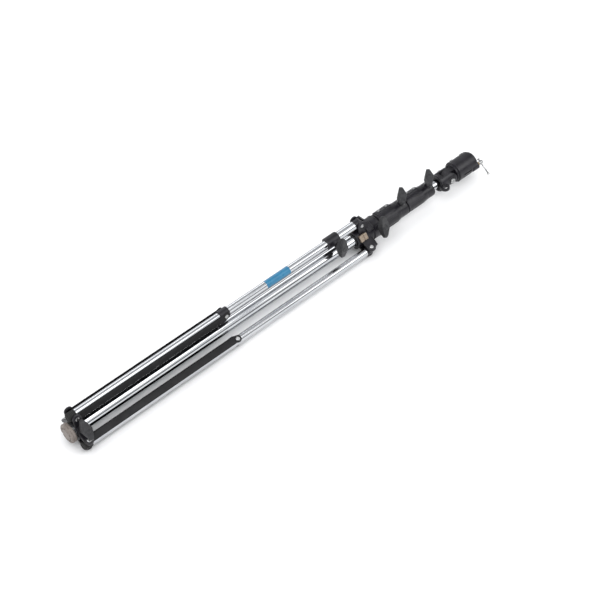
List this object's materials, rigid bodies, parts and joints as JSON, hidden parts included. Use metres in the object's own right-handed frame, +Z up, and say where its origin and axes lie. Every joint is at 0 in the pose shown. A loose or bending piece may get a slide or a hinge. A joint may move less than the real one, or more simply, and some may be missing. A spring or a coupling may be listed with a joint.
{
  "type": "lighting boom stand",
  "caption": "Folded tripod stand with chrome telescopic column, black channel struts, wing-knob clamps and a tilting clamp head.",
  "frame": {"origin": "centre of the folded stand's footprint on the ground that it lies on", "axes": "+X along the column from the foot to the head, +Z up, the two lower legs rest on the ground"},
  "size_m": [1.4, 0.1256, 0.1211],
  "materials": {
    "chrome_tube": "bright chrome plate on drawn steel tube",
    "black_channel": "satin black powder coat on folded steel channel",
    "black_casting": "satin black paint on die-cast aluminium",
    "bright_steel": "bright zinc-plated steel",
    "knob_plastic": "glass-filled nylon, dark grey",
    "foot_pad": "warm grey moulded pad",
    "rubber_tip": "black rubber",
    "nylon_bush": "black nylon",
    "label_film": "plain blue adhesive film",
    "zinc_shoe": "bronze-toned cast shoe",
    "brass_bush": "turned brass"
  },
  "bodies": {
    "column": {"column_tube": "chrome_tube", "base_foot": "foot_pad", "lower_collar": "black_casting", "lower_rivets": "bright_steel", "casting_a": "black_casting", "bush_a": "nylon_bush", "screws_a": "bright_steel"},
    "strut_a": {"strut_a": "black_channel", "mid_rivets_a": "bright_steel"},
    "strut_b": {"strut_b": "black_channel", "mid_rivet_b": "bright_steel"},
    "strut_c": {"strut_c": "black_channel", "mid_rivet_c": "bright_steel"},
    "leg_a": {"leg_sleeve_a": "chrome_tube", "level_clamp": "black_casting", "leg_guide_a": "black_casting", "leg_end_a": "black_casting"},
    "level_leg": {"leg_tube_a": "chrome_tube", "leg_tip_a": "rubber_tip", "label_band": "label_film"},
    "leg_b": {"leg_tube_b": "chrome_tube", "leg_end_b": "black_casting", "leg_tip_b": "rubber_tip"},
    "leg_c": {"leg_tube_c": "chrome_tube", "leg_end_c": "black_casting", "leg_tip_c": "rubber_tip"},
    "leg_collar": {"leg_collar": "black_casting", "collar_bush": "nylon_bush", "collar_rivets": "bright_steel", "clamp_shoe": "zinc_shoe"},
    "section_2": {"section_2_tube": "chrome_tube", "guide_2": "nylon_bush", "casting_b": "black_casting", "bush_b": "nylon_bush", "screws_b": "bright_steel"},
    "section_3": {"section_3_tube": "chrome_tube", "guide_3": "nylon_bush", "head_socket": "black_casting", "tilt_bolt": "bright_steel"},
    "head": {"head_barrel": "black_casting", "head_cover": "black_casting", "cover_screws": "bright_steel", "end_stud": "bright_steel", "tee_bush": "brass_bush"},
    "tee_screw": {"tee_screw": "bright_steel"},
    "tee_bar": {"tee_bar": "bright_steel"},
    "knob_low": {"knob_low": "knob_plastic", "stud_low": "bright_steel"},
    "knob_collar": {"knob_collar": "knob_plastic", "stud_collar": "bright_steel"},
    "knob_level": {"knob_level": "knob_plastic", "stud_level": "bright_steel"},
    "knob_a": {"knob_a": "knob_plastic", "stud_a": "bright_steel"},
    "knob_b": {"knob_b": "knob_plastic", "stud_b": "bright_steel"}
  },
  "joints": [
    {"name": "strut_a_fold", "type": "hinge", "parent": "column", "child": "strut_a", "pos_m": [-0.669, 0.00242, 0.09267], "axis": [0, -1, 0], "range_deg": [0, 35]},
    {"name": "leg_a_fold", "type": "hinge", "parent": "strut_a", "child": "leg_a", "pos_m": [-0.209, 0.00242, 0.09267], "axis": [0, -1, 0], "range_deg": [-70, 0]},
    {"name": "strut_b_fold", "type": "hinge", "parent": "column", "child": "strut_b", "pos_m": [-0.669, -0.03742, 0.02367], "axis": [0, 0.5, -0.866], "range_deg": [0, 35]},
    {"name": "leg_b_fold", "type": "hinge", "parent": "strut_b", "child": "leg_b", "pos_m": [-0.209, -0.03742, 0.02367], "axis": [0, 0.5, -0.866], "range_deg": [-70, 0]},
    {"name": "strut_c_fold", "type": "hinge", "parent": "column", "child": "strut_c", "pos_m": [-0.669, 0.04226, 0.02367], "axis": [0, 0.5, 0.866], "range_deg": [0, 35]},
    {"name": "leg_c_fold", "type": "hinge", "parent": "strut_c", "child": "leg_c", "pos_m": [-0.209, 0.04226, 0.02367], "axis": [0, 0.5, 0.866], "range_deg": [-70, 0]},
    {"name": "collar_fold", "type": "hinge", "parent": "leg_a", "child": "leg_collar", "pos_m": [0.251, 0.00242, 0.09267], "axis": [0, -1, 0], "range_deg": [0, 35]},
    {"name": "level_slide", "type": "slide", "parent": "leg_a", "child": "level_leg", "axis": [-1, 0, 0], "range_m": [0, 0.05]},
    {"name": "section_2_slide", "type": "slide", "parent": "column", "child": "section_2", "axis": [1, 0, 0], "range_m": [0, 0.85]},
    {"name": "section_3_slide", "type": "slide", "parent": "section_2", "child": "section_3", "axis": [1, 0, 0], "range_m": [0, 0.85]},
    {"name": "head_tilt", "type": "hinge", "parent": "section_3", "child": "head", "pos_m": [0.58, 0.00242, 0.04667], "axis": [0, -1, 0], "range_deg": [-90, 90]},
    {"name": "tee_turn", "type": "hinge", "parent": "head", "child": "tee_screw", "pos_m": [0.696, -0.01883, 0.04097], "axis": [1, 0, 0], "range_deg": [-180, 180]},
    {"name": "tee_bar_slide", "type": "slide", "parent": "tee_screw", "child": "tee_bar", "axis": [0, -0.766, -0.6428], "range_m": [-0.03, 0.002]},
    {"name": "low_knob_turn", "type": "hinge", "parent": "column", "child": "knob_low", "pos_m": [-0.666, -0.03266, 0.06692], "axis": [0, -0.866, 0.5], "range_deg": [-180, 180]},
    {"name": "collar_knob_turn", "type": "hinge", "parent": "leg_collar", "child": "knob_collar", "pos_m": [0.301, -0.03266, 0.06692], "axis": [0, -0.866, 0.5], "range_deg": [-180, 180]},
    {"name": "level_knob_turn", "type": "hinge", "parent": "leg_a", "child": "knob_level", "pos_m": [0.158, -0.02608, 0.09267], "axis": [0, -1, 0], "range_deg": [-180, 180]},
    {"name": "knob_a_turn", "type": "hinge", "parent": "column", "child": "knob_a", "pos_m": [0.4005, -0.00806, 0.08579], "axis": [0, -0.2588, 0.9659], "range_deg": [-180, 180]},
    {"name": "knob_b_turn", "type": "hinge", "parent": "section_2", "child": "knob_b", "pos_m": [0.5025, -0.00806, 0.08579], "axis": [0, -0.2588, 0.9659], "range_deg": [-180, 180]}
  ],
  "couplings": [
    {"joint": "strut_b_fold", "follows": "strut_a_fold", "ratio": 1},
    {"joint": "strut_c_fold", "follows": "strut_a_fold", "ratio": 1},
    {"joint": "leg_a_fold", "follows": "strut_a_fold", "ratio": -2},
    {"joint": "leg_b_fold", "follows": "strut_a_fold", "ratio": -2},
    {"joint": "leg_c_fold", "follows": "strut_a_fold", "ratio": -2},
    {"joint": "collar_fold", "follows": "strut_a_fold", "ratio": 1}
  ]
}
